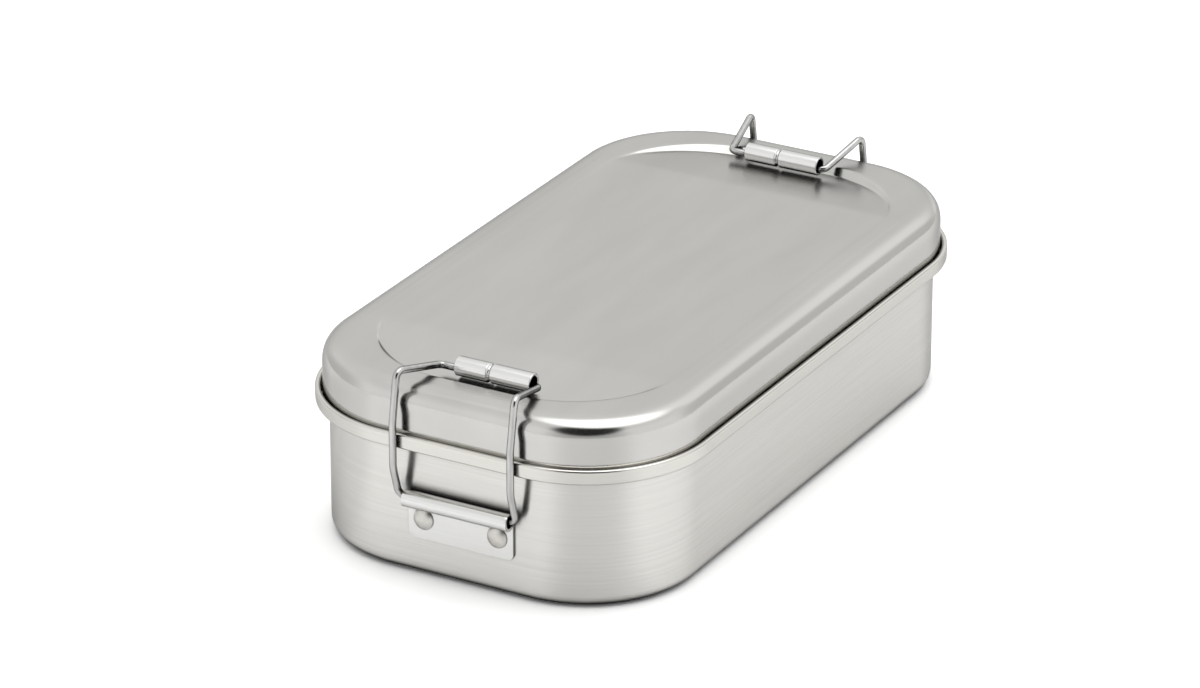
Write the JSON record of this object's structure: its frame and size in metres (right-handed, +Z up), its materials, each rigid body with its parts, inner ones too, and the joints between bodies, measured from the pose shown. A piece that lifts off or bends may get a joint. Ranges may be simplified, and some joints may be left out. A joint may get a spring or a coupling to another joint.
{
  "type": "lunch box",
  "caption": "Drawn steel lunch box with rounded corners, a lift-off lid standing inside the tray's collar, and a wire clip latch on each short end.",
  "frame": {"origin": "Centre of the tray's flat underside, on the surface that the box stands on.", "axes": "+X along the length towards the rear latch, +Y across the width, +Z up through the lid."},
  "size_m": [0.191, 0.104, 0.0546],
  "materials": {
    "tray_steel": "satin stainless sheet, fine horizontal brushing on the wall",
    "lid_steel": "satin stainless sheet with a soft cloudy brushed top",
    "plate_steel": "bright stainless strip",
    "rivet_steel": "bright stainless, upset heads",
    "wire_steel": "polished stainless wire",
    "sleeve_steel": "polished stainless strip, rolled"
  },
  "bodies": {
    "tray": {"tray_shell": "tray_steel", "front_hinge_plate": "plate_steel", "front_rivet_left": "rivet_steel", "front_rivet_right": "rivet_steel", "rear_hinge_plate": "plate_steel", "rear_rivet_left": "rivet_steel", "rear_rivet_right": "rivet_steel"},
    "lid": {"lid_shell": "lid_steel"},
    "front_bail": {"front_wire_bail": "wire_steel"},
    "front_grip": {"front_grip_sleeve": "sleeve_steel"},
    "rear_bail": {"rear_wire_bail": "wire_steel"},
    "rear_grip": {"rear_grip_sleeve": "sleeve_steel"}
  },
  "joints": [
    {"name": "lid_lift", "type": "slide", "parent": "tray", "child": "lid", "axis": [0, 0, 1], "range_m": [0, 0.009]},
    {"name": "front_latch_swing", "type": "hinge", "parent": "tray", "child": "front_bail", "pos_m": [-0.09215, -0.0013, 0.0215], "axis": [0, -1, 0], "range_deg": [0, 129]},
    {"name": "front_grip_spin", "type": "hinge", "parent": "front_bail", "child": "front_grip", "pos_m": [-0.0763, -0.0031, 0.05084], "axis": [0, 1, 0], "continuous": true},
    {"name": "rear_latch_swing", "type": "hinge", "parent": "tray", "child": "rear_bail", "pos_m": [0.09215, 0.0013, 0.0215], "axis": [0, 1, 0], "range_deg": [0, 129]},
    {"name": "rear_grip_spin", "type": "hinge", "parent": "rear_bail", "child": "rear_grip", "pos_m": [0.0763, -0.0005, 0.05084], "axis": [0, 1, 0], "continuous": true}
  ],
  "couplings": [
    {"joint": "front_latch_swing", "follows": "lid_lift", "rad_per_m": 250.16},
    {"joint": "rear_latch_swing", "follows": "lid_lift", "rad_per_m": 250.16}
  ]
}
